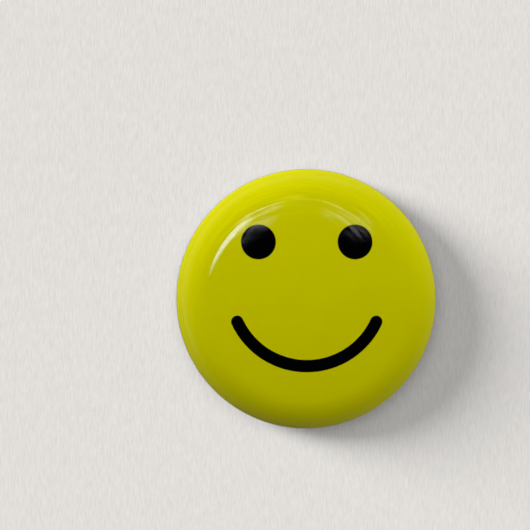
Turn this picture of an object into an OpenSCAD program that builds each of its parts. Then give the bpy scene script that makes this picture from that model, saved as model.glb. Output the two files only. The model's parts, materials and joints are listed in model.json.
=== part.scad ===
// Round pin-back button badge: a domed tin shell under a printed paper disc and a clear film,
// closed by a pressed back pan, with one spring wire for the pin and its catch.
//
// Frame: the badge stands as it is worn. The face looks along -Y, the pin is behind it on +Y and
// +Z is up. The origin is on the badge's axis, in the plane of the rear rim that lies on the cloth.
// Profiles are drawn as [radius, y] lines and turned about the badge's axis.

/* [Badge] */
// Outside diameter over the wrapped edge
badge_d = 31.75; // [31:0.25:33]
// Radius of the gently domed middle of the face
dome_r = 80; // [60:5:120]
// Radius of the shoulder between the dome and the edge
shoulder_r = 5.5; // [5:0.1:6]
// Slope of the face where the shoulder meets the edge, in degrees
shoulder_a = 50; // [45:1:55]
// Radius of the outer edge of the face
edge_r = 1.6; // [1.4:0.1:1.8]
// Radius of the edge that is turned in behind
curl_r = 0.8; // [0.8:0.05:0.9]

/* [Layers] */
// Thickness of the clear film
film_t = 0.1; // [0.05:0.01:0.1]
// Thickness of the printed paper
paper_t = 0.12; // [0.08:0.01:0.12]
// Thickness of the tin shell
shell_t = 0.25; // [0.2:0.01:0.25]
// Thickness of the pressed back pan
pan_t = 0.25; // [0.2:0.01:0.28]

/* [Back pan] */
// Diameter of the flat middle of the pan
disc_d = 20.66; // [20:0.1:21]
// Slope of the pan's wall at its outer end, in degrees
wall_a = 42; // [40:1:44]
// Radius of the rolled bead that lies on the cloth
bead_r = 0.4; // [0.38:0.01:0.42]
// Length of each wire slot, end to end
slot_l = 6.1; // [5.8:0.1:6.2]
// Width of each wire slot
slot_w = 3; // [2.8:0.1:3.2]
// Distance from the badge's axis to the middle of a slot
slot_x = 9.28; // [9.1:0.02:9.4]
// Height of the slots' middle line above the badge's axis
slot_z = 0.28; // [0.2:0.02:0.4]

/* [Spring wire] */
// Diameter of the wire
wire_d = 0.76; // [0.7:0.02:0.8]
// Distance from the axis to the hook's outer leg, at the slot
hook_outer_x = 10.64; // [10.5:0.02:10.8]
// Distance from the axis to the hook's inner leg, at the slot
hook_inner_x = 7.12; // [7:0.02:7.3]
// Height at which the hook's legs come out of the slot
hook_top_z = 1.2; // [1.1:0.05:1.25]
// Drop of the hook's closed end below the badge's axis
hook_drop = 3.28; // [3.1:0.02:3.4]
// Distance from the axis to the pin's point
point_x = 10.4; // [10:0.1:10.5]
// Length of the ground taper of the pin
taper_l = 11.4; // [8:0.1:12]
// Depth of the pin's centre line below the rear rim
pin_depth = 0.5; // [0.45:0.01:0.55]

/* [Hidden] */
$fn = 96;

arc_step = 6;            // degrees of turn to one facet of a profile's arc
dome_steps = 8;          // fewest facets in an arc, for the long flat dome
bend_step = 15;          // degrees of turn to one ring of the bent wire
run_steps = 22;          // rings along the wire's run under the pan
wire_sides = 16;
wire_r = wire_d / 2;
gap = 0.06;              // free space between neighbours that don't touch

// Wrapped front: dome, shoulder, edge and curl, each tangent to the next
badge_r = badge_d / 2;
dome_a = asin((badge_r - edge_r - (shoulder_r - edge_r) * sin(shoulder_a)) / (dome_r - shoulder_r));
wrap = [[dome_r, dome_a], [shoulder_r, shoulder_a - dome_a], [edge_r, 90 - shoulder_a], [curl_r, 90]];
face_h = dome_r * (1 - cos(dome_a)) + shoulder_r * (cos(dome_a) - cos(shoulder_a))
    + edge_r * cos(shoulder_a);
wrap_sink = 0.35;        // depth of the turned-in edge below the rear rim
badge_t = face_h + curl_r + wrap_sink;
lip_r = badge_r - curl_r;
wrap_t = film_t + paper_t + shell_t;

// Back pan, from the middle of the disc outwards: disc, step, wall, ridge, groove, bead, skirt, foot
step_r = [0.1, 0.3];     // radii of the step's hollow and its edge
step_a = 60;             // slope of the step
floor_a = 4;             // slope of the wall where it leaves the step
ridge_r = 0.4;
groove_r = 0.2;
groove_a = 20;           // slope of the groove's inner side
bead_a = 55;             // slope where the groove meets the bead
skirt_r = lip_r - 0.015; // the skirt goes down just inside the turned-in lip
foot_r = 0.08;
foot_l = 0.1;            // the foot hooks under the lip by this much
skirt_l = wrap_sink + wrap_t + gap - bead_r - foot_r;
ridge_w = ridge_r * (sin(wall_a) + sin(groove_a));
groove_w = groove_r * (sin(groove_a) + sin(bead_a));
bead_w = bead_r * (sin(bead_a) + 1);
step_w = step_r[0] * sin(step_a) + step_r[1] * (sin(step_a) - sin(floor_a));
wall_w = skirt_r - bead_w - groove_w - ridge_w - step_w - disc_d / 2;
wall_r = wall_w / (sin(wall_a) - sin(floor_a));
pan = [
    [disc_d / 2],
    [step_r[0], step_a],
    [step_r[1], floor_a - step_a],
    [wall_r, wall_a - floor_a],
    [ridge_r, -groove_a - wall_a],
    [groove_r, bead_a + groove_a],
    [bead_r, -90 - bead_a],
    [skirt_l],
    [foot_r, 90],
    [foot_l],
];
disc_depth = step_r[0] * (1 - cos(step_a)) + step_r[1] * (cos(floor_a) - cos(step_a))
    + wall_r * (cos(floor_a) - cos(wall_a)) + ridge_r * (cos(groove_a) - cos(wall_a))
    + groove_r * (cos(groove_a) - cos(bead_a)) + bead_r * (1 - cos(bead_a));

// Wire inside the badge: an arc under the pan that joins the hook's outer leg to the pivot
run_depth = disc_depth + pan_t + wire_r + gap;
run_bend = 0.8;
foot_reach = norm([hook_outer_x, hook_top_z]);
run_r = sqrt(pow(foot_reach, 2) - pow(run_bend, 2));
run_lead = atan(run_bend / run_r);
run_start = atan2(hook_top_z, hook_outer_x) + run_lead;
run_end = 180 - run_lead;
tail_l = 2.2;            // the free end of the wire lies under the pan

// Pin arm: ball at the pivot, a slightly drawn neck, the straight wire and the ground point
pivot_x = -foot_reach;
arm_l = point_x - pivot_x;
neck_start = 0.1;
neck_l = 1.3;
neck_r = wire_r - 0.02;
point_r = 0.08;
ball_step = 15;          // degrees of turn to one facet of the ball

// Hook: both legs rise from the slot, pass over the pin and slope back towards the pan
hook_slope = 0.13;       // drop towards the pan for each millimetre down
hook_bend = 0.6;
hook_end_bend = 1.2;
hook_taper = [0.2, 0.32]; // how far the inner and the outer leg lean in at the closed end
taper_at_hook = (hook_inner_x - point_x + taper_l) / (taper_l - point_r);
hook_y = -pin_depth + wire_r - (wire_r - point_r) * taper_at_hook + gap + wire_r;

function unit(v) = v / norm(v);

// Right-hand side of a heading in degrees
function right_of(h) = [sin(h), -cos(h)];

// Points along a bend that leaves p at heading h and turns by a degrees, left being positive
function bend_points(p, h, r, a, t) =
    let (
        s = sign(a),
        centre = p - s * r * right_of(h),
        n = max(ceil(abs(a) / arc_step), r == dome_r ? dome_steps : 1)
    )
    [for (i = [1 : n]) centre + (s * r + t) * right_of(h + a * i / n)];

// Points along a chain of steps, t to its right: [length] goes straight, [radius, degrees] bends
function walk(steps, p, h, t, i = 0) =
    i == len(steps) ? [] :
    let (
        s = steps[i],
        straight = len(s) == 1,
        ahead = straight ? [p + s[0] * [cos(h), sin(h)]] : bend_points(p, h, s[0], s[1], 0),
        points = straight ? [ahead[0] + t * right_of(h)] : bend_points(p, h, s[0], s[1], t)
    )
    concat(points, walk(steps, ahead[len(ahead) - 1], straight ? h : h + s[1], t, i + 1));

function sheet_line(steps, p, t) = concat([p + t * right_of(0)], walk(steps, p, 0, t));

function reversed(list) = [for (i = [len(list) - 1 : -1 : 0]) list[i]];

// Turns a profile drawn as [radius, y] about the badge's axis
module turned() {
    rotate([-90, 0, 0]) rotate_extrude() children();
}

// A sheet that follows a chain of steps from the axis, between two offsets to its right
module sheet(steps, p, t0, t1) {
    turned() polygon(concat(sheet_line(steps, p, t0), reversed(sheet_line(steps, p, t1))));
}

// A layer of the wrapped front, between two depths below its outer surface
module wrapped_layer(t0, t1) {
    sheet(wrap, [0, -badge_t], -t0, -t1);
}

// Obround slot that goes right through the pan
module wire_slot() {
    straight = slot_l - slot_w;
    depth = 2 * badge_t;
    rotate([90, 0, 0]) {
        cube([straight, slot_w, depth], center = true);
        for (side = [-1, 1]) translate([side * straight / 2, 0, 0])
            cylinder(d = slot_w, h = depth, center = true);
    }
}

// Points round a bend of the given radius at corner b, on the way from a to c
function fillet(a, b, c, bend) =
    let (
        u = unit(b - a),
        v = unit(c - b),
        turn = acos(u * v),
        side = unit(v - u * (u * v)),
        centre = b - u * bend * tan(turn / 2) + side * bend,
        n = ceil(turn / bend_step)
    )
    [for (i = [0 : n]) let (g = turn * i / n) centre + bend * (sin(g) * u - cos(g) * side)];

// Unit directions along a route, one at each point
function headings(route) =
    [for (i = [0 : len(route) - 1])
        unit(route[min(i + 1, len(route) - 1)] - route[max(i - 1, 0)])];

// Sideways directions carried along the headings without twist
function sides_along(h, side, i = 0) =
    i == len(h) ? [] :
    let (s = unit(side - h[i] * (h[i] * side)))
    concat([s], sides_along(h, s, i + 1));

// Round wire along a route of points
module wire(route, r) {
    h = headings(route);
    out = sides_along(h, [0, 0, 1]);
    last = len(route) - 1;
    n = wire_sides;
    points = [for (i = [0 : last], j = [0 : n - 1])
        let (a = 360 * j / n) route[i] + r * (cos(a) * out[i] + sin(a) * cross(h[i], out[i]))];
    skin = [for (i = [0 : last - 1], j = [0 : n - 1])
        let (k = (j + 1) % n) [i * n + j, (i + 1) * n + j, (i + 1) * n + k, i * n + k]];
    ends = [[for (j = [0 : n - 1]) j], [for (j = [n - 1 : -1 : 0]) last * n + j]];
    polyhedron(points, concat(skin, ends));
}

// Point on the wire's run under the pan, at an angle up from +X
function on_run(a) = [run_r * cos(a), -run_depth, run_r * sin(a)];

module cover_film() {
    color([0.93, 0.96, 1, 0.25]) wrapped_layer(0, film_t);
}

module printed_paper() {
    color([0.8, 0.78, 0.02]) wrapped_layer(film_t, film_t + paper_t);
}

module front_shell() {
    color([0.72, 0.72, 0.7]) wrapped_layer(film_t + paper_t, wrap_t);
}

module back_pan() {
    color([0.8, 0.8, 0.78]) difference() {
        sheet(pan, [0, -disc_depth], 0, pan_t);
        for (side = [-1, 1]) translate([side * slot_x, 0, slot_z]) wire_slot();
    }
}

// Fixed part of the wire: tail, hook, run round under the pan, and riser to the pivot
module catch_wire() {
    top_y = hook_y + hook_slope * hook_top_z;
    end_y = hook_y - hook_slope * hook_drop;
    corners = [
        [hook_inner_x - tail_l, -run_depth, hook_top_z],
        [hook_inner_x, -run_depth, hook_top_z],
        [hook_inner_x, top_y, hook_top_z],
        [hook_inner_x + hook_taper[0], end_y, -hook_drop],
        [hook_outer_x - hook_taper[1], end_y, -hook_drop],
        [hook_outer_x, top_y, hook_top_z],
        [hook_outer_x, -run_depth, hook_top_z],
        on_run(run_start),
    ];
    bends = [run_bend, hook_bend, hook_end_bend, hook_end_bend, hook_bend, run_bend];
    riser_foot = [pivot_x, -run_depth, 0];
    riser_top = [pivot_x, -pin_depth - wire_r - gap, 0];
    color([0.85, 0.86, 0.88]) wire(concat(
        [corners[0]],
        [for (i = [1 : len(bends)])
            each fillet(corners[i - 1], corners[i], corners[i + 1], bends[i - 1])],
        [for (i = [1 : run_steps - 1]) on_run(run_start + (run_end - run_start) * i / run_steps)],
        fillet(on_run(run_end), riser_foot, riser_top, run_bend),
        [riser_top]
    ), wire_r);
}

// Moving part of the wire: turned about its own axis, and laid from the pivot to the point
module pin_arm() {
    ball = [for (a = [0 : ball_step : 90]) wire_r * [sin(a), -cos(a)]];
    shape = concat(ball, [
        [neck_r, neck_start],
        [wire_r, neck_l],
        [wire_r, arm_l - taper_l],
        [point_r, arm_l - point_r],
        [0, arm_l],
    ]);
    color([0.85, 0.86, 0.88]) translate([pivot_x, -pin_depth, 0]) rotate([0, 90, 0])
        rotate_extrude() polygon(shape);
}

cover_film();
printed_paper();
front_shell();
back_pan();
catch_wire();
pin_arm();
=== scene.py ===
"""Builds a round pin-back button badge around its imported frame.

Lengths are metres. The badge stands as it is worn: the face looks along -Y, the pin is behind it
and +Z is up. The origin is on the badge's axis, in the plane of the rear rim.
"""
import json
import math

import bmesh
import bpy
from bpy.props import FloatProperty, FloatVectorProperty, IntProperty, PointerProperty
from bpy.types import Operator, Panel, PropertyGroup
from mathutils import Matrix, Vector

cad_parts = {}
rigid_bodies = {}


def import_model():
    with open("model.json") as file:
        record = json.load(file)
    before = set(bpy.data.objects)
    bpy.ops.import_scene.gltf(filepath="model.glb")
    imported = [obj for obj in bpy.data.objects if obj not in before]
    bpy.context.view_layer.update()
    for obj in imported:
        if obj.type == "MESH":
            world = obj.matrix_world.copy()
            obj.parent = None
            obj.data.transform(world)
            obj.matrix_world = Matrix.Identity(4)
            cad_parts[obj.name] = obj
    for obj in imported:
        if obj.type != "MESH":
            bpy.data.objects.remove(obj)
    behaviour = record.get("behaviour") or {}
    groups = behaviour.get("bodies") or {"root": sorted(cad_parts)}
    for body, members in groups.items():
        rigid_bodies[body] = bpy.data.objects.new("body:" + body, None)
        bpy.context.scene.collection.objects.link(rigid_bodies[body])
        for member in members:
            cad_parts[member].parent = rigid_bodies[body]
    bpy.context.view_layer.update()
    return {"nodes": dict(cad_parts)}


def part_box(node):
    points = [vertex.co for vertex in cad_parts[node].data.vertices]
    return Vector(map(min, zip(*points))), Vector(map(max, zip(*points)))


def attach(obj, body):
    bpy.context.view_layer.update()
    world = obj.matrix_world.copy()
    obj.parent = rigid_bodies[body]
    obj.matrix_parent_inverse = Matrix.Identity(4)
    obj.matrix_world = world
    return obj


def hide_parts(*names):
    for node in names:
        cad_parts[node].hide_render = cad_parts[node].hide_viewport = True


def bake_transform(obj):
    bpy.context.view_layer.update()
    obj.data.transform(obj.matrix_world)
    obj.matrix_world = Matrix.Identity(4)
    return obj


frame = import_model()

bl_info = {
    "name": "Button badge",
    "version": (1, 0, 0),
    "blender": (4, 5, 0),
    "location": "3D View > Sidebar > Badge",
    "description": "Film, printed disc, tin shell, back plate and spring wire of a button badge",
    "category": "Object",
}

MM = 0.001
AXIS = (0, 1, 0)
MIDDLE = (0, 0, 0)
FILM_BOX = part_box("cover_film")
PAN_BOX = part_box("back_pan")
PIN_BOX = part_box("pin_arm")
CATCH_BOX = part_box("catch_wire")


# ---------------- sizes and colours

def length(name, text, default):
    return FloatProperty(name=name, description=text, default=default, min=0,
                         unit="LENGTH", subtype="DISTANCE", precision=6)


def angle(name, text, degrees):
    return FloatProperty(name=name, description=text, default=math.radians(degrees),
                         unit="ROTATION", subtype="ANGLE")


def colour(name, text, default):
    return FloatVectorProperty(name=name, description=text, default=default, size=3,
                               min=0, max=1, subtype="COLOR")


class WrapSizes(PropertyGroup):
    """The domed face and the edge that is turned in behind it."""
    dome_r: length("Dome radius", "Radius of the gently domed middle", 80 * MM)
    shoulder_r: length("Shoulder radius", "Radius between the dome and the edge", 5.5 * MM)
    shoulder_a: angle("Shoulder slope", "Slope where the shoulder meets the edge", 50)
    edge_r: length("Edge radius", "Radius of the outer edge", 1.6 * MM)
    curl_r: length("Curl radius", "Radius of the edge turned in behind", 0.8 * MM)
    film_t: length("Film", "Thickness of the clear film", 0.03 * MM)
    film_room: length("Film room", "Depth of the film's layer", 0.045 * MM)
    paper_t: length("Paper", "Thickness of the printed paper", 0.17 * MM)
    pleat: length("Pleats", "Height of the pleats in the turned-in edge", 0.03 * MM)


class PlateSizes(PropertyGroup):
    """The pressed plate that closes the back."""
    disc_r: length("Disc radius", "Radius of the flat middle", 10.33 * MM)
    thickness: length("Thickness", "Thickness of the tinplate", 0.25 * MM)
    step_hollow: length("Step hollow", "Radius in the corner of the step", 0.1 * MM)
    step_edge: length("Step edge", "Radius on the edge of the step", 0.3 * MM)
    step_a: angle("Step slope", "Slope of the step", 60)
    floor_a: angle("Floor slope", "Slope of the wall where it leaves the step", 4)
    wall_a: angle("Wall slope", "Slope of the wall at its outer end", 42)
    ridge_r: length("Ridge radius", "Radius of the ridge above the groove", 0.4 * MM)
    groove_r: length("Groove radius", "Radius of the groove", 0.2 * MM)
    groove_a: angle("Groove slope", "Slope of the groove's inner side", 20)
    bead_a: angle("Bead slope", "Slope where the groove meets the bead", 55)
    bead_r: length("Bead radius", "Radius of the bead that lies on the cloth", 0.4 * MM)
    skirt: length("Skirt", "Straight length of the skirt inside the wrap", 0.4 * MM)
    foot_r: length("Foot bend", "Radius at the foot of the skirt", 0.08 * MM)
    foot: length("Foot", "Length of the foot that hooks under the wrap", 0.1 * MM)
    slot_l: length("Slot length", "Length of each wire slot", 6.1 * MM)
    slot_w: length("Slot width", "Width of each wire slot", 3.0 * MM)
    slot_x: length("Slot place", "Distance from the axis to the slot's middle", 9.28 * MM)
    slot_z: length("Slot height", "Height of the slots above the axis", 0.28 * MM)
    rim: length("Slot rim", "Rounding on the slot's rim", 0.05 * MM)


class WireSizes(PropertyGroup):
    """The spring wire: catch, run under the plate, and pin."""
    radius: length("Wire radius", "Half the wire's diameter", 0.38 * MM)
    hook_outer: length("Outer leg", "Distance from the axis to the hook's outer leg", 10.64 * MM)
    hook_inner: length("Inner leg", "Distance from the axis to the hook's inner leg", 7.12 * MM)
    hook_top: length("Hook top", "Height at which the legs leave the slot", 1.2 * MM)
    hook_drop: length("Hook drop", "Drop of the hook's closed end below the axis", 3.28 * MM)
    hook_slope: FloatProperty(name="Hook slope", default=0.13,
                              description="Drop towards the plate for each metre down")
    lean_inner: length("Inner lean", "How far the inner leg leans out at its end", 0.2 * MM)
    lean_outer: length("Outer lean", "How far the outer leg leans in at its end", 0.32 * MM)
    tail: length("Tail", "Free end of the wire under the plate", 2.2 * MM)
    foot_bend: length("Foot bends", "Radius where the wire leaves the plate", 0.8 * MM)
    hook_bend: length("Hook bends", "Radius at the top of the hook's legs", 0.6 * MM)
    end_bend: length("End bends", "Radius at the hook's closed end", 1.2 * MM)
    pin_depth: length("Pin depth", "Depth of the pin below the rear rim", 0.5 * MM)
    taper: length("Taper", "Length of the pin's ground taper", 11.4 * MM)
    point_r: length("Point radius", "Radius of the pin's point", 0.08 * MM)
    gap: length("Gap", "Free space between the wire and the plate or pin", 0.06 * MM)
    sides: IntProperty(name="Sides", description="Sides of the round wire", default=24, min=8)


class FaceSizes(PropertyGroup):
    """The plain cheerful face printed on the paper: two dots and one arc."""
    eye_r: length("Eye radius", "Radius of each round eye", 2.1 * MM)
    eye_x: length("Eye place", "Distance of each eye from the middle", 5.8 * MM)
    eye_z: length("Eye height", "Height of the eyes above the middle", 6.9 * MM)
    mouth_r: length("Mouth radius", "Radius of the mouth's arc", 9.2 * MM)
    mouth_z: length("Mouth centre", "Height of the arc's centre", 1.2 * MM)
    mouth_w: length("Mouth width", "Width of the mouth's line", 1.5 * MM)
    mouth_a: angle("Mouth reach", "Half of the arc, from its lowest point", 65)
    bleed: length("Bleed", "How far the ink's edge wanders", 0.018 * MM)
    print_end: length("Print end", "Distance from the rear rim at which the ink ends", 1.0 * MM)


class Finishes(PropertyGroup):
    """Colours of the badge's surfaces."""
    yellow: colour("Yellow", "Printed yellow", (0.62, 0.6, 0.0))
    yellow_worn: colour("Pale yellow", "Yellow where the ink is thin", (0.66, 0.64, 0.0))
    ink: colour("Ink", "Printed black", (0.0008, 0.0008, 0.0008))
    white: colour("White", "Bare paper", (0.82, 0.81, 0.79))
    # Painted shade: this darker paper colour is laid into the folds of the pleats.
    crease_and_shade: colour("Crease", "Paper in the pleats", (0.6, 0.585, 0.56))
    tin: colour("Tin", "Dull tinplate", (0.5, 0.495, 0.495))
    bright_tin: colour("Bright tin", "Rolled bright tinplate", (0.76, 0.757, 0.76))
    dull_tin: colour("Dull lines", "Dull lines in the rolled grain", (0.4, 0.397, 0.4))
    # Painted highlight: this near-white is laid as a ring on the edge of the back plate's step.
    step_highlight: colour("Rubbed tin", "Polished edge of the step", (0.95, 0.945, 0.935))
    # Dark grime on the shell and the wire; on the back plate the same colour is painted shade in
    # the groove and the step's corner.
    grime_and_shade: colour("Grime", "Dirt in the groove and the corners", (0.12, 0.11, 0.1))
    wire: colour("Wire", "Plated spring wire", (0.76, 0.755, 0.75))
    backdrop: colour("Backdrop", "Pale studio paper", (0.8, 0.777, 0.746))


class StageSizes(PropertyGroup):
    """Camera and studio."""
    distance: length("Camera distance", "From the camera to the badge's edge", 180 * MM)
    aside: length("Camera aside", "How far the camera stands left of the badge", 5.01 * MM)
    above: length("Camera above", "How far the camera stands above the badge", 4.13 * MM)
    lens: FloatProperty(name="Lens", description="Focal length in millimetres", default=100)
    wall_gap: length("Wall", "Distance of the wall behind the rear rim", 0.6 * MM)
    floor_drop: length("Floor", "Depth of the floor below the badge's axis", 50 * MM)
    sweep_r: length("Sweep", "Radius between the wall and the floor", 12 * MM)
    reach: length("Reach", "Half of the studio's width", 900 * MM)


class BadgeSettings(PropertyGroup):
    """Everything that the badge's operators read."""
    wrap: PointerProperty(type=WrapSizes)
    plate: PointerProperty(type=PlateSizes)
    wire: PointerProperty(type=WireSizes)
    face: PointerProperty(type=FaceSizes)
    finish: PointerProperty(type=Finishes)
    stage: PointerProperty(type=StageSizes)


# ---------------- modelling by hand

ARC_STEP = math.radians(3)
TURN_STEPS = 192
WELD = 0.001 * MM


def settings():
    return bpy.context.scene.badge


def nothing_selected():
    if bpy.context.object is not None and bpy.context.object.mode != "OBJECT":
        bpy.ops.object.mode_set(mode="OBJECT")
    bpy.ops.object.select_all(action="DESELECT")


def named(name):
    """The new primitive, with its place put into its mesh, open in edit mode and all selected."""
    piece = bpy.context.object
    piece.name = piece.data.name = name
    bpy.ops.object.transform_apply(location=True, rotation=True, scale=True)
    bpy.ops.object.mode_set(mode="EDIT")
    bpy.ops.mesh.select_mode(type="VERT")
    bpy.ops.mesh.select_all(action="SELECT")
    return piece


def select_where(piece, test):
    """Selects the vertices that pass the test, and what they bound, in edit mode."""
    mesh = bmesh.from_edit_mesh(piece.data)
    for v in mesh.verts:
        v.select = bool(test(v.co))
    mesh.select_flush(True)
    mesh.select_flush(False)
    bmesh.update_edit_mesh(piece.data)


def extrude(move):
    if Vector(move).length > WELD:
        bpy.ops.mesh.extrude_region_move(TRANSFORM_OT_translate={"value": tuple(move)})


def spin(centre, axis, turn, steps):
    """Extrudes round an axis by a right-handed angle; the operator itself counts the other way."""
    bpy.ops.mesh.spin(steps=steps, angle=-turn, center=tuple(centre), axis=tuple(axis))


def steps_for(turn, least=1):
    return max(math.ceil(abs(turn) / ARC_STEP), least)


def start_line(name, radius, y):
    """A new mesh of one vertex, to draw a profile from."""
    nothing_selected()
    bpy.ops.mesh.primitive_circle_add(vertices=3, radius=MM, location=(radius, y, 0))
    piece = named(name)
    bpy.ops.mesh.merge(type="CENTER")
    return piece


def draw(steps, place, heading=0.0):
    """Draws a profile from the selected vertex: (length,) goes straight, (radius, turn) bends."""
    for step in steps:
        ahead = Vector((math.cos(heading), math.sin(heading), 0))
        if len(step) == 1:
            extrude(step[0] * ahead)
            place = place + step[0] * ahead
            continue
        radius, turn = step[:2]
        left = Vector((-ahead.y, ahead.x, 0))
        centre = place + math.copysign(radius, turn) * left
        spin(centre, (0, 0, 1), turn, steps_for(turn, *step[2:]))
        place = centre + Matrix.Rotation(turn, 3, "Z") @ (place - centre)
        heading += turn


def point_faces(piece, rank, front):
    """Makes all faces agree, with the one of least rank towards the front or the back."""
    bpy.ops.mesh.select_all(action="SELECT")
    bpy.ops.mesh.normals_make_consistent(inside=False)
    bpy.ops.object.mode_set(mode="OBJECT")
    first = min(piece.data.polygons, key=rank)
    if (first.normal.y < 0) != front:
        bpy.ops.object.mode_set(mode="EDIT")
        bpy.ops.mesh.select_all(action="SELECT")
        bpy.ops.mesh.flip_normals()
        bpy.ops.object.mode_set(mode="OBJECT")


def turn_round(piece, front):
    """Turns the profile about the badge's axis and points its faces to the front or the back."""
    bpy.ops.mesh.select_all(action="SELECT")
    bpy.ops.mesh.spin(steps=TURN_STEPS, angle=math.tau, center=MIDDLE, axis=AXIS)
    bpy.ops.mesh.select_all(action="SELECT")
    bpy.ops.mesh.remove_doubles(threshold=WELD)
    point_faces(piece, lambda f: f.center.x ** 2 + f.center.z ** 2, front)


def modifier(piece, kind, name, **values):
    """Adds a modifier with these values and applies it."""
    bpy.context.view_layer.objects.active = piece
    added = piece.modifiers.new(name, kind)
    for key, value in values.items():
        setattr(added, key, value)
    bpy.ops.object.modifier_apply(modifier=added.name)


def give_thickness(piece, thickness):
    modifier(piece, "SOLIDIFY", "Thickness", thickness=thickness, offset=-1,
             use_even_offset=True, use_rim=True)


def smooth(piece, degrees=32):
    nothing_selected()
    piece.select_set(True)
    bpy.context.view_layer.objects.active = piece
    bpy.ops.object.shade_smooth_by_angle(angle=math.radians(degrees))


def start_wire(name, place, ahead):
    """A ring of the wire's size that looks along ahead, open in edit mode."""
    wire = settings().wire
    nothing_selected()
    turn = Vector(ahead).to_track_quat("Z", "Y").to_euler()
    bpy.ops.mesh.primitive_circle_add(vertices=wire.sides, radius=wire.radius,
                                      location=place, rotation=turn)
    return named(name)


def bend_wire(points, bends):
    """Takes the ring from the first point past rounded corners, and gives where it ends."""
    place = Vector(points[0])
    for before, corner, after, radius in zip(points, points[1:], points[2:], bends):
        u = (Vector(corner) - Vector(before)).normalized()
        v = (Vector(after) - Vector(corner)).normalized()
        turn = u.angle(v)
        reach = radius * math.tan(turn / 2)
        bend_start = Vector(corner) - u * reach
        extrude(bend_start - place)
        side = (v - u * u.dot(v)).normalized()
        spin(bend_start + side * radius, u.cross(side), turn, steps_for(turn / 3, 8))
        place = Vector(corner) + v * reach
    return place


def close_wire():
    """Fills the wire's two open ends and turns all its faces outwards."""
    bpy.ops.mesh.select_all(action="DESELECT")
    bpy.ops.mesh.select_non_manifold()
    bpy.ops.mesh.fill_holes(sides=0)
    bpy.ops.mesh.select_all(action="SELECT")
    bpy.ops.mesh.remove_doubles(threshold=WELD)
    bpy.ops.mesh.normals_make_consistent(inside=False)
    bpy.ops.object.mode_set(mode="OBJECT")


# ---------------- materials

class Graph:
    """Adds and joins the nodes of one material, world or node group."""

    def __init__(self, tree):
        self.tree = tree

    def add(self, kind, inputs=None, **attributes):
        node = self.tree.nodes.new(kind)
        for name, value in attributes.items():
            setattr(node, name, value)
        for name, value in (inputs or {}).items():
            self.feed(node.inputs[name], value)
        return node

    def feed(self, socket, value):
        if isinstance(value, bpy.types.NodeSocket):
            self.tree.links.new(value, socket)
        else:
            socket.default_value = value

    def math(self, operation, a, b=0.0, clamp=False):
        return self.add("ShaderNodeMath", {0: a, 1: b}, operation=operation,
                        use_clamp=clamp).outputs[0]

    def times(self, a, b):
        return self.math("MULTIPLY", a, b)

    def plus(self, a, b):
        return self.math("ADD", a, b)

    def minus(self, a, b):
        return self.math("SUBTRACT", a, b)

    def most(self, a, b):
        return self.math("MAXIMUM", a, b)

    def vector(self, operation, a, b=(0, 0, 0)):
        node = self.add("ShaderNodeVectorMath", {0: a, 1: b}, operation=operation)
        return node.outputs["Value" if operation in ("LENGTH", "DOT_PRODUCT") else 0]

    def mix(self, factor, a, b, blend="MIX"):
        """Mixes two colours."""
        node = self.add("ShaderNodeMix", {"Factor": factor}, data_type="RGBA", blend_type=blend)
        for socket, value in ((node.inputs[6], a), (node.inputs[7], b)):
            is_colour = not isinstance(value, bpy.types.NodeSocket)
            self.feed(socket, (*value, 1) if is_colour else value)
        return node.outputs[2]

    def noise(self, vector, scale, detail=3.0, roughness=0.5, distortion=0.0):
        return self.add("ShaderNodeTexNoise", {
            "Vector": vector, "Scale": scale, "Detail": detail, "Roughness": roughness,
            "Distortion": distortion}).outputs[0]

    def ramp(self, value, low, high, to_low=0.0, to_high=1.0):
        """Takes low..high of a value smoothly to to_low..to_high."""
        return self.add("ShaderNodeMapRange", {
            "Value": value, "From Min": low, "From Max": high,
            "To Min": to_low, "To Max": to_high}, interpolation_type="SMOOTHSTEP").outputs[0]

    def apart(self, vector):
        """The three parts of a vector."""
        return self.add("ShaderNodeSeparateXYZ", {0: vector}).outputs

    def together(self, x, y, z):
        return self.add("ShaderNodeCombineXYZ", {0: x, 1: y, 2: z}).outputs[0]

    def place(self):
        return self.add("ShaderNodeTexCoord").outputs["Object"]

    def turned(self, vector, rotation):
        return self.add("ShaderNodeMapping", {"Vector": vector, "Rotation": rotation}).outputs[0]

    def bump(self, height, distance):
        return self.add("ShaderNodeBump", {
            "Height": height, "Distance": distance, "Strength": 1.0}).outputs[0]

    def shaders(self, factor, a, b):
        """Mixes the outputs of two shader nodes."""
        return self.add("ShaderNodeMixShader", {0: factor, 1: a.outputs[0], 2: b.outputs[0]})

    def use(self, group, vector, **inputs):
        """Places a shared node group and gives its output."""
        node = self.add("ShaderNodeGroup", {"Vector": vector, **inputs}, node_tree=group)
        return node.outputs[0]


def group(name, inputs, output, build):
    """A shared node group, built once: inputs are name: default, where None is a vector."""
    if name in bpy.data.node_groups:
        return bpy.data.node_groups[name]
    tree = bpy.data.node_groups.new(name, "ShaderNodeTree")
    for label, default in inputs.items():
        kind = "NodeSocketVector" if default is None else "NodeSocketFloat"
        socket = tree.interface.new_socket(label, in_out="INPUT", socket_type=kind)
        if default is not None:
            socket.default_value = default
    tree.interface.new_socket(output, in_out="OUTPUT", socket_type="NodeSocketFloat")
    graph = Graph(tree)
    entry = graph.add("NodeGroupInput")
    leave = graph.add("NodeGroupOutput")
    graph.feed(leave.inputs[0], build(graph, entry.outputs))
    return tree


def rolled_grain():
    """Fine lines along Z, as the rolls leave in sheet metal and paper."""
    def build(g, given):
        across = given["Lines"]
        along = g.math("DIVIDE", across, given["Stretch"])
        scaled = g.vector("MULTIPLY", given["Vector"], g.together(across, across, along))
        return g.noise(scaled, 1.0, 4.0, 0.65)
    return group("Rolled grain", {"Vector": None, "Lines": 9000.0, "Stretch": 30.0},
                 "Grain", build)


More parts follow.
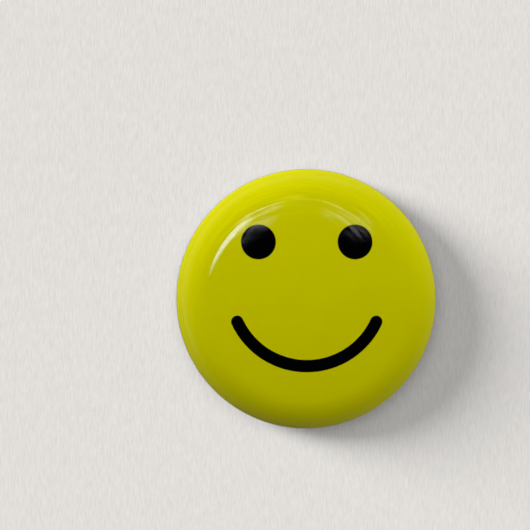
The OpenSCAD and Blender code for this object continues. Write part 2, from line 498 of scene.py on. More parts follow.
def fine_scratches():
    """Sparse hairlines in two directions, broken up so that none runs right across."""
    def build(g, given):
        layers = []
        for turn, offset in ((0.5, 0.0), (-0.9, 7.0), (1.9, 3.0)):
            moved = g.turned(given["Vector"], (0, turn, 0))
            scaled = g.vector("MULTIPLY", moved, g.together(
                given["Scale"], given["Scale"], g.times(given["Scale"], 0.02)))
            line = g.noise(g.vector("ADD", scaled, (offset, offset, offset)), 1.0, 2.0)
            patch = g.noise(given["Vector"], g.times(given["Scale"], 0.08), 1.0)
            layers.append(g.times(g.ramp(line, 0.68, 0.74), g.ramp(patch, 0.5, 0.62)))
        both = g.most(g.most(layers[0], layers[1]), layers[2])
        return g.times(both, given["Amount"])
    return group("Fine scratches", {"Vector": None, "Scale": 5000.0, "Amount": 1.0},
                 "Scratches", build)


def smudges():
    """Soft cloudy patches, as handling leaves on a bright surface."""
    def build(g, given):
        cloud = g.noise(given["Vector"], g.math("DIVIDE", 1.0, given["Size"]), 4.0, 0.6, 0.6)
        return g.ramp(cloud, 0.38, 0.68)
    return group("Smudges", {"Vector": None, "Size": 5 * MM}, "Cloud", build)


def ring_band():
    """A soft ring about the badge's axis: 1 at its radius, 0 a width away."""
    def build(g, given):
        part = g.apart(given["Vector"])
        radius = g.vector("LENGTH", g.together(part["X"], 0.0, part["Z"]))
        off = g.math("ABSOLUTE", g.minus(radius, given["Radius"]))
        return g.ramp(off, 0.0, given["Width"], 1.0, 0.0)
    return group("Ring band", {"Vector": None, "Radius": 10 * MM, "Width": MM}, "Ring", build)


def fine_pits():
    """Small round pits and specks, scattered."""
    def build(g, given):
        cells = g.add("ShaderNodeTexVoronoi", {
            "Vector": given["Vector"], "Scale": g.math("DIVIDE", 1.0, given["Spacing"])})
        few = g.ramp(g.apart(cells.outputs["Color"])["X"], 0.7, 0.75)
        return g.times(g.ramp(cells.outputs["Distance"], 0.05, 0.16, 1.0, 0.0), few)
    return group("Fine pits", {"Vector": None, "Spacing": 0.6 * MM}, "Pits", build)


def new_material(name):
    material = bpy.data.materials.new(name)
    material.use_nodes = True
    material.node_tree.nodes.clear()
    g = Graph(material.node_tree)
    return material, g, g.add("ShaderNodeOutputMaterial")


def principled(g, out, **inputs):
    shader = g.add("ShaderNodeBsdfPrincipled", {k.replace("_", " "): v for k, v in inputs.items()})
    g.feed(out.inputs["Surface"], shader.outputs[0])
    return shader


def clear_film():
    """Clear polyester film: only its gloss shows over the print."""
    material, g, out = new_material("clear_polyester_film")
    place = g.place()
    cloud = g.use(smudges(), place, Size=3.5 * MM)
    hair = g.use(fine_scratches(), place, Scale=4200.0)
    roughness = g.plus(g.ramp(cloud, 0.0, 1.0, 0.03, 0.05), g.times(hair, 0.1))
    wave = g.noise(place, 420.0, 2.0)
    height = g.minus(wave, g.times(hair, 0.12))
    normal = g.bump(height, 0.003 * MM)
    gloss = g.add("ShaderNodeBsdfGlossy", {"Roughness": roughness, "Normal": normal})
    gloss.inputs["Color"].default_value = (1, 1, 1, 1)
    clear = g.add("ShaderNodeBsdfTransparent")
    fresnel = g.add("ShaderNodeFresnel", {"IOR": 1.5, "Normal": normal}).outputs[0]
    inside = g.add("ShaderNodeNewGeometry").outputs["Backfacing"]
    shown = g.times(fresnel, g.minus(1.0, inside))
    film = g.shaders(shown, clear, gloss)
    g.feed(out.inputs["Surface"], film.outputs[0])
    return material


def face_ink(g, place, face):
    """How black the print is: two round eyes and a round-ended arc for the mouth."""
    part = g.apart(place)
    aside = g.math("ABSOLUTE", part["X"])
    eye = g.vector("LENGTH", g.together(g.minus(aside, face.eye_x), 0.0,
                                        g.minus(part["Z"], face.eye_z)))
    eye = g.minus(eye, face.eye_r)
    drop = g.minus(face.mouth_z, part["Z"])
    reach = g.vector("LENGTH", g.together(aside, 0.0, drop))
    arc = g.math("ABSOLUTE", g.minus(reach, face.mouth_r))
    end_x = face.mouth_r * math.sin(face.mouth_a)
    end_drop = face.mouth_r * math.cos(face.mouth_a)
    end = g.vector("LENGTH", g.together(g.minus(aside, end_x), 0.0, g.minus(drop, end_drop)))
    beyond = g.math("GREATER_THAN", g.math("ARCTAN2", aside, drop), face.mouth_a)
    line = g.plus(g.times(end, beyond), g.times(arc, g.minus(1.0, beyond)))
    mouth = g.minus(line, face.mouth_w / 2)
    wander = g.times(g.minus(g.noise(place, 9000.0, 2.0), 0.5), 2 * face.bleed)
    edge = g.plus(g.math("MINIMUM", eye, mouth), wander)
    return g.ramp(edge, -face.bleed, face.bleed, 1.0, 0.0)


def printed_paper():
    """Printed paper: yellow over the face, bare white where it is turned in behind."""
    finish, face = settings().finish, settings().face
    material, g, out = new_material("printed_paper_disc")
    place = g.place()
    fibre = g.noise(place, 12000.0, 4.0, 0.7)
    tone = g.use(smudges(), place, Size=7 * MM)
    mottle = g.plus(g.times(tone, 0.6), g.times(fibre, 0.4))
    yellow = g.mix(g.times(mottle, 0.5), finish.yellow, finish.yellow_worn)
    inked = g.mix(face_ink(g, place, face), yellow, finish.ink)
    part = g.apart(place)
    angle_round = g.math("ARCTAN2", part["Z"], part["X"])
    folds = g.noise(g.together(g.times(angle_round, 15.0), 0.0,
                               g.times(part["Y"], 300.0)), 1.0, 3.0, 0.6)
    behind = g.ramp(part["Y"], -1.15 * MM, -0.95 * MM)
    # Painted shade: the folds darken the bare paper behind; the same mask also dents it in the
    # bump.
    crease_and_shade = g.times(g.ramp(folds, 0.5, 0.72), behind)
    bare = g.mix(crease_and_shade, finish.white, finish.crease_and_shade)
    rim = g.plus(part["Y"], g.times(g.noise(place, 900.0, 2.0), 0.1 * MM))
    turned_in = g.ramp(rim, -face.print_end - 0.02 * MM, -face.print_end + 0.02 * MM)
    shade = g.mix(turned_in, inked, bare)
    height = g.plus(g.times(fibre, 0.25), g.times(crease_and_shade, -3.0))
    principled(g, out, Base_Color=shade, Roughness=g.ramp(fibre, 0.3, 0.7, 0.5, 0.62),
               Specular_IOR_Level=0.0, Normal=g.bump(height, 0.006 * MM))
    return material


def dull_tinplate():
    """The shell's tinplate, dull inside the badge."""
    finish = settings().finish
    material, g, out = new_material("dull_tinplate")
    place = g.place()
    grain = g.use(rolled_grain(), place, Lines=7000.0, Stretch=25.0)
    cloud = g.use(smudges(), place, Size=4 * MM)
    hair = g.use(fine_scratches(), place, Scale=4000.0, Amount=0.8)
    shade = g.mix(g.times(cloud, 0.35), finish.tin, finish.grime_and_shade)
    principled(g, out, Base_Color=shade, Metallic=0.4, Roughness=g.ramp(grain, 0.3, 0.7, 0.32, 0.5),
               Normal=g.bump(g.plus(grain, hair), 0.0015 * MM))
    return material


def bright_tinplate():
    """The back plate: vertical rolled grain, rubbed bead, painted shade in the groove and the
    step's corner, and a painted highlight on the step's edge.
    """
    finish, plate = settings().finish, settings().plate
    material, g, out = new_material("bright_rolled_tinplate")
    place = g.place()
    grain = g.use(rolled_grain(), place, Lines=16000.0, Stretch=24.0)
    streak = g.use(rolled_grain(), place, Lines=5500.0, Stretch=9.0)
    cloud = g.use(smudges(), place, Size=5 * MM)
    hair = g.use(fine_scratches(), place, Scale=5200.0)
    pits = g.use(fine_pits(), place, Spacing=0.8 * MM)
    bead_at, groove_at = 14.7 * MM, 14.13 * MM
    bead = g.use(ring_band(), place, Radius=bead_at, Width=0.35 * MM)
    # Painted shade: dark rings in the groove and in the step's corner, broken up by noise below.
    groove = g.use(ring_band(), place, Radius=groove_at, Width=0.22 * MM)
    corner = g.use(ring_band(), place, Radius=plate.disc_r - 0.03 * MM, Width=0.1 * MM)
    # Painted highlight: a bright ring on the step's edge.
    step = g.use(ring_band(), place, Radius=plate.disc_r + 0.22 * MM, Width=0.2 * MM)
    rubbed = g.times(bead, g.use(fine_scratches(), place, Scale=9000.0))
    shade_breakup = g.ramp(g.noise(place, 2200.0, 4.0, 0.7), 0.35, 0.65)
    dirt_and_shade = g.times(g.most(groove, corner), shade_breakup)
    # Adds real pits as dark specks to the painted shade.
    dirt_and_shade = g.most(g.times(dirt_and_shade, 0.55), g.times(pits, 0.15))
    lines = g.plus(g.times(g.ramp(streak, 0.4, 0.6), 0.65),
                   g.times(g.ramp(grain, 0.36, 0.64), 0.35))
    dull = g.mix(lines, finish.bright_tin, finish.dull_tin)
    shade = g.mix(g.times(cloud, 0.12), dull, finish.tin)
    # Lays the painted highlight on the step's edge.
    shade = g.mix(step, shade, finish.step_highlight)
    # Lays the painted shade in the groove and the corner, and the pits.
    shade = g.mix(dirt_and_shade, shade, finish.grime_and_shade)
    rough = g.plus(g.ramp(streak, 0.36, 0.64, 0.16, 0.3), g.times(cloud, 0.07))
    rough = g.plus(rough, g.times(g.most(hair, rubbed), 0.15))
    rough = g.math("ADD", rough, g.math("MULTIPLY", dirt_and_shade, 0.35), clamp=True)
    dents = g.noise(place, 330.0, 2.0, 0.4)
    height = g.plus(g.times(grain, 0.5), g.times(streak, 1.2))
    height = g.plus(height, g.times(dents, 14.0))
    height = g.minus(height, g.times(g.most(hair, rubbed), 0.8))
    height = g.minus(height, g.times(pits, 1.5))
    principled(g, out, Base_Color=shade, Metallic=g.ramp(dirt_and_shade, 0.0, 1.0, 1.0, 0.7),
               Roughness=rough, Normal=g.bump(height, 0.0016 * MM))
    return material


def plated_wire(name, turn):
    """Plated spring wire with drawing lines along it, which the turn lays along the piece."""
    finish = settings().finish
    material, g, out = new_material(name)
    place = g.place()
    lines = g.use(rolled_grain(), g.turned(place, turn), Lines=16000.0, Stretch=60.0)
    cloud = g.use(smudges(), place, Size=1.6 * MM)
    hair = g.use(fine_scratches(), place, Scale=8000.0)
    pits = g.use(fine_pits(), place, Spacing=0.5 * MM)
    shade = g.mix(g.times(cloud, 0.25), finish.wire, finish.tin)
    shade = g.mix(g.times(pits, 0.5), shade, finish.grime_and_shade)
    rough = g.plus(g.ramp(cloud, 0.0, 1.0, 0.1, 0.2), g.times(hair, 0.15))
    height = g.minus(g.times(lines, 0.4), g.most(hair, pits))
    principled(g, out, Base_Color=shade, Metallic=1.0, Roughness=rough,
               Normal=g.bump(height, 0.0012 * MM))
    return material


def studio_paper():
    """Pale backdrop with a fine upright grain, seen from its front side only and dim in gloss."""
    finish = settings().finish
    material, g, out = new_material("studio_paper")
    place = g.place()
    grain = g.use(rolled_grain(), place, Lines=7000.0, Stretch=9.0)
    tone = g.ramp(grain, 0.25, 0.75, 0.92, 1.07)
    shade = g.mix(1.0, finish.backdrop, g.together(tone, tone, tone), "MULTIPLY")
    paper = g.add("ShaderNodeBsdfPrincipled", {
        "Base Color": shade, "Roughness": 0.9, "Specular IOR Level": 0.0})
    clear = g.add("ShaderNodeBsdfTransparent")
    # Painted reflection: glossy rays see the wall outside the badge's edge as a fixed dim glow that
    # stands for its shaded paper; within the edge and on the floor they pass through.
    wall_in_gloss = 0.13
    dim = g.add("ShaderNodeEmission", {"Strength": wall_in_gloss})
    part = g.apart(place)
    radius = g.vector("LENGTH", g.together(part["X"], 0.0, part["Z"]))
    badge_r = FILM_BOX[1].x
    beside = g.times(g.ramp(radius, badge_r, badge_r + MM),
                     g.ramp(part["Y"], -settings().stage.sweep_r, 0.0))
    aside = g.shaders(beside, clear, dim)
    in_gloss = g.add("ShaderNodeLightPath").outputs["Is Glossy Ray"]
    shown = g.shaders(in_gloss, paper, aside)
    behind = g.add("ShaderNodeNewGeometry").outputs["Backfacing"]
    sided = g.shaders(behind, shown, clear)
    g.feed(out.inputs["Surface"], sided.outputs[0])
    return material


def put_on(piece, material):
    """Gives a new piece its material, or a CAD node in its own slots."""
    if not piece.material_slots:
        piece.data.materials.append(material)
    for place in piece.material_slots:
        place.material = material


# ---------------- the pieces

def wrap_steps(depth):
    """The wrapped front's outline, at a depth below the film's outer surface."""
    wrap = settings().wrap
    badge_r = FILM_BOX[1].x
    flank = badge_r - wrap.edge_r - (wrap.shoulder_r - wrap.edge_r) * math.sin(wrap.shoulder_a)
    dome_a = math.asin(flank / (wrap.dome_r - wrap.shoulder_r))
    quarter = math.pi / 2
    return [(wrap.dome_r - depth, dome_a, 16),
            (wrap.shoulder_r - depth, wrap.shoulder_a - dome_a, 18),
            (wrap.edge_r - depth, quarter - wrap.shoulder_a, 10),
            (wrap.curl_r - depth, quarter, 16)]


def wrapped_layer(name, depth, thickness):
    """A sheet drawn over the dome and turned in behind, with slight pleats in its turned edge."""
    wrap = settings().wrap
    start = Vector((0, FILM_BOX[0].y + depth, 0))
    piece = start_line(name, 0, start.y)
    draw(wrap_steps(depth), start)
    turn_round(piece, front=True)
    equator = FILM_BOX[1].y - wrap.curl_r
    pleats = piece.vertex_groups.new(name="pleats")
    for v in piece.data.vertices:
        pleats.add([v.index], max(0.0, min(1.0, (v.co.y - equator) / wrap.curl_r)), "REPLACE")
    clouds = bpy.data.textures.get("pleats") or bpy.data.textures.new("pleats", "CLOUDS")
    clouds.noise_scale = 0.9 * MM
    modifier(piece, "DISPLACE", "Pleats", texture=clouds, texture_coords="LOCAL",
             strength=-wrap.pleat, mid_level=0.2, vertex_group="pleats")
    give_thickness(piece, thickness)
    smooth(piece, 40)
    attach(piece, "badge")
    return piece


class BADGE_OT_clear_film(Operator):
    """Clear film drawn over the printed paper"""
    bl_idname = "badge.clear_film"
    bl_label = "Clear film"

    def execute(self, context):
        piece = wrapped_layer("clear_film", 0, settings().wrap.film_t)
        put_on(piece, clear_film())
        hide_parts("cover_film")
        return {"FINISHED"}


class BADGE_OT_printed_disc(Operator):
    """Printed paper disc under the film"""
    bl_idname = "badge.printed_disc"
    bl_label = "Printed disc"

    def execute(self, context):
        wrap = settings().wrap
        piece = wrapped_layer("printed_disc", wrap.film_room, wrap.paper_t)
        put_on(piece, printed_paper())
        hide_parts("printed_paper")
        return {"FINISHED"}


class BADGE_OT_tin_shell(Operator):
    """Finish of the tin shell under the paper"""
    bl_idname = "badge.tin_shell"
    bl_label = "Tin shell"

    def execute(self, context):
        put_on(frame["nodes"]["front_shell"], dull_tinplate())
        return {"FINISHED"}


def slot_cutter(side):
    """A round-ended block for one wire slot, from one stretched cylinder."""
    plate = settings().plate
    nothing_selected()
    sides = 64
    right_through = 6 * MM
    bpy.ops.mesh.primitive_cylinder_add(
        vertices=sides, radius=plate.slot_w / 2, depth=right_through,
        location=(side * plate.slot_x, PAN_BOX[0].y, plate.slot_z),
        rotation=(math.pi / 2, math.pi / sides, 0))
    cutter = named("slot_cutter")
    stretch = (plate.slot_l - plate.slot_w) / 2
    for end in (-1, 1):
        select_where(cutter, lambda at: (at.x - side * plate.slot_x) * end > 0)
        bpy.ops.transform.translate(value=(end * stretch, 0, 0))
    bpy.ops.object.mode_set(mode="OBJECT")
    return cutter


def near_slot(at, margin):
    """True if a point lies within a margin of a slot's outline."""
    plate = settings().plate
    straight = (plate.slot_l - plate.slot_w) / 2
    x = max(abs(abs(at.x) - plate.slot_x) - straight, 0)
    return abs(math.hypot(x, at.z - plate.slot_z) - plate.slot_w / 2) < margin


class BADGE_OT_back_plate(Operator):
    """Pressed plate that closes the back, with two wire slots"""
    bl_idname = "badge.back_plate"
    bl_label = "Back plate"

    def execute(self, context):
        plate = settings().plate
        wall_w = (PAN_BOX[1].x - plate.disc_r
                  - plate.step_hollow * math.sin(plate.step_a)
                  - plate.step_edge * (math.sin(plate.step_a) - math.sin(plate.floor_a))
                  - plate.ridge_r * (math.sin(plate.wall_a) + math.sin(plate.groove_a))
                  - plate.groove_r * (math.sin(plate.groove_a) + math.sin(plate.bead_a))
                  - plate.bead_r * (math.sin(plate.bead_a) + 1))
        wall_r = wall_w / (math.sin(plate.wall_a) - math.sin(plate.floor_a))
        quarter = math.pi / 2
        inner = 0.72   # share of the flat middle inside its one ring of points
        steps = [
            (plate.disc_r * inner,),
            (plate.disc_r * (1 - inner),),
            (plate.step_hollow, plate.step_a, 6),
            (plate.step_edge, plate.floor_a - plate.step_a, 10),
            (wall_r, plate.wall_a - plate.floor_a, 16),
            (plate.ridge_r, -plate.groove_a - plate.wall_a, 12),
            (plate.groove_r, plate.bead_a + plate.groove_a, 12),
            (plate.bead_r, -quarter - plate.bead_a, 24),
            (plate.skirt,),
            (plate.foot_r, quarter, 5),
            (plate.foot,),
        ]
        start = Vector((0, PAN_BOX[0].y, 0))
        piece = start_line("back_plate", 0, start.y)
        draw(steps, start)
        bpy.ops.mesh.select_all(action="SELECT")
        bpy.ops.object.mode_set(mode="OBJECT")
        rise = max(v.co.y for v in piece.data.vertices)
        bpy.ops.object.mode_set(mode="EDIT")
        bpy.ops.transform.translate(value=(0, PAN_BOX[1].y - rise, 0))
        turn_round(piece, front=False)
        give_thickness(piece, plate.thickness)
        for side in (-1, 1):
            cutter = slot_cutter(side)
            nothing_selected()
            modifier(piece, "BOOLEAN", "Slot", object=cutter, operation="DIFFERENCE",
                     solver="EXACT")
            bpy.data.objects.remove(cutter)
        piece.select_set(True)
        on_rim = 0.01 * MM
        crumb = 0.03 * MM
        sharp = math.radians(40)
        bpy.ops.object.mode_set(mode="EDIT")
        select_where(piece, lambda at: near_slot(at, on_rim))
        bpy.ops.mesh.remove_doubles(threshold=crumb)
        bpy.ops.mesh.select_all(action="DESELECT")
        bpy.ops.mesh.select_mode(type="EDGE")
        mesh = bmesh.from_edit_mesh(piece.data)
        for edge in mesh.edges:
            ends_on_rim = all(near_slot(v.co, on_rim) for v in edge.verts)
            edge.select = ends_on_rim and edge.calc_face_angle(0) > sharp
        bmesh.update_edit_mesh(piece.data)
        bpy.ops.mesh.bevel(offset=plate.rim, segments=2, affect="EDGES", clamp_overlap=False)
        smooth(piece, 38)
        put_on(piece, bright_tinplate())
        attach(piece, "badge")
        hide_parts("back_pan")
        return {"FINISHED"}


def pivot():
    """Where the pin leaves its riser: on the pin's centre line."""
    wire = settings().wire
    return Vector((-math.hypot(wire.hook_outer, wire.hook_top), -wire.pin_depth, 0))


class BADGE_OT_catch_spring(Operator):
    """Fixed part of the spring wire: tail, hook, run under the plate and riser"""
    bl_idname = "badge.catch_spring"
    bl_label = "Catch and run"

    def execute(self, context):
        wire = settings().wire
        run_y = CATCH_BOX[0].y + wire.radius
        point_x = PIN_BOX[1].x
        taper_start = point_x - wire.taper
        tapered = (wire.hook_inner - taper_start) / (wire.taper - wire.point_r)
        pin_r = wire.radius - (wire.radius - wire.point_r) * tapered
        hook_y = -wire.pin_depth + pin_r + wire.gap + wire.radius
        top_y = hook_y + wire.hook_slope * wire.hook_top
        end_y = hook_y - wire.hook_slope * wire.hook_drop
        reach = -pivot().x
        run_r = math.sqrt(reach ** 2 - wire.foot_bend ** 2)
        lead = math.atan(wire.foot_bend / run_r)
        run_start = math.atan2(wire.hook_top, wire.hook_outer) + lead
        run_end = math.pi - lead

        def on_run(turn):
            return Vector((run_r * math.cos(turn), run_y, run_r * math.sin(turn)))

        corners = [
            (wire.hook_inner - wire.tail, run_y, wire.hook_top),
            (wire.hook_inner, run_y, wire.hook_top),
            (wire.hook_inner, top_y, wire.hook_top),
            (wire.hook_inner + wire.lean_inner, end_y, -wire.hook_drop),
            (wire.hook_outer - wire.lean_outer, end_y, -wire.hook_drop),
            (wire.hook_outer, top_y, wire.hook_top),
            (wire.hook_outer, run_y, wire.hook_top),
            on_run(run_start),
        ]
        bends = [wire.foot_bend, wire.hook_bend, wire.end_bend, wire.end_bend, wire.hook_bend,
                 wire.foot_bend]
        piece = start_wire("catch_spring", corners[0], (1, 0, 0))
        bend_wire(corners, bends)
        spin((0, run_y, 0), (0, -1, 0), run_end - run_start, 72)
        riser_foot = Vector((-reach, run_y, 0))
        riser_top = pivot() - Vector((0, wire.foot_bend, 0))
        place = bend_wire([on_run(run_end), riser_foot, riser_top], [wire.foot_bend])
        extrude(riser_top - place)
        close_wire()
        smooth(piece, 40)
        put_on(piece, plated_wire("plated_catch_wire", (0, 0, 0)))
        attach(piece, "badge")
        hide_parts("catch_wire")
        return {"FINISHED"}


class BADGE_OT_pin_wire(Operator):
    """Moving part of the spring wire: its bend at the riser, the arm and the ground point"""
    bl_idname = "badge.pin_wire"
    bl_label = "Pin"

    def execute(self, context):
        wire = settings().wire
        corner = pivot()
        point_x = PIN_BOX[1].x
        foot = corner - Vector((0, wire.foot_bend, 0))
        tip = Vector((point_x, corner.y, 0))
        piece = start_wire("pin_wire", foot, (0, 1, 0))
        place = bend_wire([foot, corner, tip], [wire.foot_bend])
        extrude(Vector((point_x - wire.taper, corner.y, 0)) - place)
        taper_steps = 16
        hollow = 1.15   # power of the taper: above 1 the point is ground slimmer near its root
        ring_r = wire.radius
        cone = wire.taper - wire.point_r
        for i in range(1, taper_steps + 1):
            extrude((cone / taper_steps, 0, 0))
            part = i / taper_steps
            next_r = wire.radius + (wire.point_r - wire.radius) * part ** hollow
            centre = (point_x - wire.taper + cone * part, corner.y, 0)
            bpy.ops.transform.resize(value=(next_r / ring_r,) * 3, center_override=centre)
            ring_r = next_r
        for part in (0.5, 0.87):   # rings round the tip, as shares of its radius
            rounded = wire.point_r * math.sqrt(1 - part ** 2)
            at_x = point_x - wire.point_r * (1 - part)
            extrude((at_x - centre[0], 0, 0))
            centre = (at_x, corner.y, 0)
            bpy.ops.transform.resize(value=(rounded / ring_r,) * 3, center_override=centre)
            ring_r = rounded
        extrude((point_x - at_x, 0, 0))
        bpy.ops.mesh.merge(type="CENTER")
        close_wire()
        smooth(piece, 40)
        put_on(piece, plated_wire("plated_pin_wire", (0, math.pi / 2, 0)))
        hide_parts("pin_arm")
        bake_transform(piece)
        return {"FINISHED"}


# ---------------- studio

def towards(azimuth, elevation):
    """Unit direction from the badge to a lamp: azimuth goes from +X up to +Z on the face's own
    plane, and elevation leans towards the viewer in front of it."""
    a, e = math.radians(azimuth), math.radians(elevation)
    return Vector((math.cos(e) * math.cos(a), -math.sin(e), math.cos(e) * math.sin(a)))


def soft_sun(name, azimuth, elevation, strength, spread, lights_only):
    """A broad soft lamp from far away, for one collection, that reflections don't see."""
    nothing_selected()
    turn = towards(azimuth, elevation).to_track_quat("Z", "Y").to_euler()
    bpy.ops.object.light_add(type="SUN", rotation=turn)
    lamp = bpy.context.object
    lamp.name = lamp.data.name = name
    lamp.data.energy = strength
    lamp.data.angle = math.radians(spread)
    lamp.visible_glossy = False
    lamp.light_linking.receiver_collection = lights_only


def studio_world():
    """Pale to the eye and dim to the badge, with soft oval lamps for its gloss."""
    finish = settings().finish
    world = bpy.data.worlds.new("studio")
    bpy.context.scene.world = world
    world.use_nodes = True
    world.node_tree.nodes.clear()
    g = Graph(world.node_tree)
    out = g.add("ShaderNodeOutputWorld")
    way = g.add("ShaderNodeTexCoord").outputs["Generated"]
    part = g.apart(way)
    round_axis = g.math("ARCTAN2", part["Z"], part["X"])
    lean = g.math("ARCSINE", g.times(part["Y"], -1.0))
    dome_edge = math.radians(68.7)   # past this lean the streaks lie closer
    steep = g.most(g.minus(lean, dome_edge), 0.0)
    rows = g.plus(g.times(lean, 5.0), g.times(steep, 62.0))
    rows = g.plus(rows, g.times(round_axis, 1.6))
    streaks = g.ramp(g.noise(g.together(g.times(round_axis, 1.3), rows, 0.0),
                             1.0, 2.0, 0.6), 0.46, 0.58)

    def panel(azimuth, elevation, wide, tall, bright, soft=0.8, tilt=0.0):
        """An oval lamp that only reflections see: wide runs round the badge's axis, tall towards
        it, and tilt is how much it rises for each degree round."""
        around, reach = math.radians(azimuth), math.radians(wide)
        off = g.add("ShaderNodeMath", {0: round_axis, 1: around + math.pi, 2: around - math.pi},
                    operation="WRAP").outputs[0]
        off = g.minus(off, around)
        up = g.minus(g.minus(lean, math.radians(elevation)), g.times(off, tilt))
        far = g.vector("LENGTH", g.together(g.math("DIVIDE", off, reach),
                                            g.math("DIVIDE", up, math.radians(tall)), 0.0))
        return g.times(g.ramp(far, 1 + soft / 2, 1 - soft / 2), bright)

    def total(values):
        whole = values[0]
        for value in values[1:]:
            whole = g.plus(whole, value)
        return whole

    def across(x, z, low, high):
        """A soft step over the part of a direction that points along (x, z)."""
        along = g.plus(g.times(part["X"], x), g.times(part["Z"], z))
        return g.ramp(along, low, high)

    def grey(value, tint):
        return g.mix(1.0, tint, g.together(value, value, value), "MULTIPLY")

    slant = math.sqrt(0.5)
    upper_left = across(-slant, slant, 0.1, 0.45)
    window = total([
        panel(144, 70.2, 20, 1.1, 9.0, 0.8, -0.026),
        panel(113, 69.2, 9, 0.35, 5.0, 1.0, -0.02),
        panel(94, 69.2, 12, 0.15, 1.8, 1.0),
        g.times(total([panel(126, 69.5, 23, 5.0, 2.3, 0.6),
                       panel(57, 69.8, 17, 4.8, 1.7, 0.6)]), streaks),
    ])
    tinted = g.times(total([panel(98, 66.0, 62, 6.0, 1.7, 0.9),
                            panel(95, 46.0, 66, 22.0, 1.0, 0.9)]),
                     g.plus(g.times(streaks, 0.85), 0.15))
    low = g.times(g.ramp(lean, math.radians(28), 0.0), g.plus(g.times(upper_left, 0.3), 0.05))
    low_right = across(-slant, -slant, 0.2, 0.6)
    base = g.times(g.ramp(part["Y"], 0.02, 0.12), g.minus(0.31, g.times(low_right, 0.24)))
    bright = g.times(g.ramp(part["Y"], 0.05, 0.3), g.times(upper_left, 0.85))
    warm = g.times(g.ramp(part["Y"], 0.05, 0.3), g.times(across(0.5, -0.866, 0.54, 0.72), 0.6))
    sparks = total([
        panel(100, -22, 18, 4, 3.5),
        panel(-62, -30, 12, 4, 2.2),
        panel(180, -36, 10, 5, 1.6),
    ])
    gloss = grey(window, (0.8, 0.83, 1.0))
    for value, tint in ((tinted, (1.0, 0.97, 0.02)), (low, (1, 1, 1)), (base, (0.95, 0.96, 1.0)),
                        (bright, (1.0, 0.99, 0.97)), (warm, (1.0, 0.96, 0.88)),
                        (sparks, (1, 1, 1))):
        gloss = g.vector("ADD", gloss, grey(value, tint))
    light_path = g.add("ShaderNodeLightPath")
    as_wall = 0.92   # how the backdrop's colour shows once it is lit
    pale = g.add("ShaderNodeBackground", {"Color": (*(as_wall * c for c in finish.backdrop), 1)})
    seen = g.add("ShaderNodeBackground", {"Color": gloss})
    fill = g.add("ShaderNodeBackground", {"Strength": g.ramp(part["Y"], 0.0, 0.3, 0.01, 0.32)})
    fill.inputs["Color"].default_value = (1, 1, 1, 1)
    lit = g.shaders(light_path.outputs["Is Glossy Ray"], fill, seen)
    whole = g.shaders(light_path.outputs["Is Camera Ray"], lit, pale)
    g.feed(out.inputs["Surface"], whole.outputs[0])


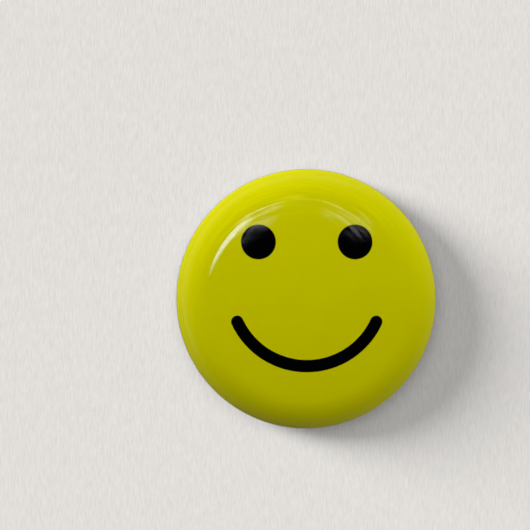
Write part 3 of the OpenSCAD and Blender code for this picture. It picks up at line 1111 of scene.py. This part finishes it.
class BADGE_OT_stage(Operator):
    """Camera, soft lamps, and the pale wall and floor"""
    bl_idname = "badge.stage"
    bl_label = "Studio"

    def execute(self, context):
        stage = settings().stage
        pieces = bpy.data.collections.new("badge pieces")
        for thing in context.scene.objects:
            if thing.type == "MESH" and not thing.hide_render:
                pieces.objects.link(thing)
        for name in ("clear_film", "printed_disc"):
            bpy.data.objects[name].visible_diffuse = False

        nothing_selected()
        wall_y, floor_z, radius = stage.wall_gap, -stage.floor_drop, stage.sweep_r
        bpy.ops.mesh.primitive_plane_add(
            size=2 * stage.reach, location=(0, wall_y, floor_z + radius + stage.reach),
            rotation=(math.pi / 2, 0, 0))
        sweep = named("studio_sweep")
        select_where(sweep, lambda at: at.z < 0)
        spin((0, wall_y - radius, floor_z + radius), (1, 0, 0), -math.pi / 2, 24)
        extrude((0, -stage.reach, 0))
        point_faces(sweep, lambda f: -f.center.z, front=True)
        smooth(sweep, 30)
        put_on(sweep, studio_paper())
        sweep.visible_diffuse = False
        sweep.visible_transmission = False
        sweep.visible_shadow = False
        paper = bpy.data.collections.new("studio paper")
        paper.objects.link(sweep)

        lamps = (   # name, azimuth, elevation, strength, width in degrees, what it lights
            ("key", 105, 50, 1.9, 40, pieces),
            ("top_left", 120, 5, 1.15, 40, pieces),
            ("top_right", 60, 5, 0.85, 40, pieces),
            ("left", 165, 5, 1.12, 40, pieces),
            ("low_left", 195, 20, 0.43, 40, pieces),
            ("right", 345, 20, 1.25, 40, pieces),
            ("shade", 157, 17, 5.0, 24, paper),
            ("front", 110, 75, 1.5, 80, paper),
            ("back_key", 110, -50, 1.3, 30, pieces),
            ("back_fill", 10, -35, 0.7, 60, pieces),
            ("back_deep", 90, -82, 1.1, 24, pieces),
        )
        for lamp in lamps:
            soft_sun(*lamp)
        studio_world()

        equator = FILM_BOX[1].y - settings().wrap.curl_r
        bpy.ops.object.camera_add(
            location=(-stage.aside, equator - stage.distance, stage.above),
            rotation=(math.pi / 2, 0, 0))
        camera = context.object
        camera.name = camera.data.name = "camera"
        camera.data.lens = stage.lens
        camera.data.clip_start = MM
        camera.data.clip_end = 10
        context.scene.camera = camera
        context.scene.view_settings.view_transform = "Standard"
        return {"FINISHED"}


# ---------------- add-on

PIECES = (BADGE_OT_clear_film, BADGE_OT_printed_disc, BADGE_OT_tin_shell, BADGE_OT_back_plate,
          BADGE_OT_catch_spring, BADGE_OT_pin_wire, BADGE_OT_stage)


class VIEW3D_PT_badge(Panel):
    """Buttons for the badge's pieces and its sizes"""
    bl_label = "Button badge"
    bl_space_type = "VIEW_3D"
    bl_region_type = "UI"
    bl_category = "Badge"

    def draw(self, context):
        for piece in PIECES:
            self.layout.operator(piece.bl_idname)
        for part in BadgeSettings.__annotations__:
            box = self.layout.box()
            values = getattr(context.scene.badge, part)
            box.label(text=part.capitalize())
            for key in type(values).__annotations__:
                box.prop(values, key)


GROUPS = (WrapSizes, PlateSizes, WireSizes, FaceSizes, Finishes, StageSizes, BadgeSettings)
CLASSES = GROUPS + PIECES + (VIEW3D_PT_badge,)


def register():
    for cls in CLASSES:
        bpy.utils.register_class(cls)
    bpy.types.Scene.badge = PointerProperty(type=BadgeSettings)


def unregister():
    del bpy.types.Scene.badge
    for cls in reversed(CLASSES):
        bpy.utils.unregister_class(cls)


def main():
    register()
    bpy.ops.badge.clear_film()
    bpy.ops.badge.printed_disc()
    bpy.ops.badge.tin_shell()
    bpy.ops.badge.back_plate()
    bpy.ops.badge.catch_spring()
    bpy.ops.badge.pin_wire()
    bpy.ops.badge.stage()


if __name__ == "__main__":
    main()
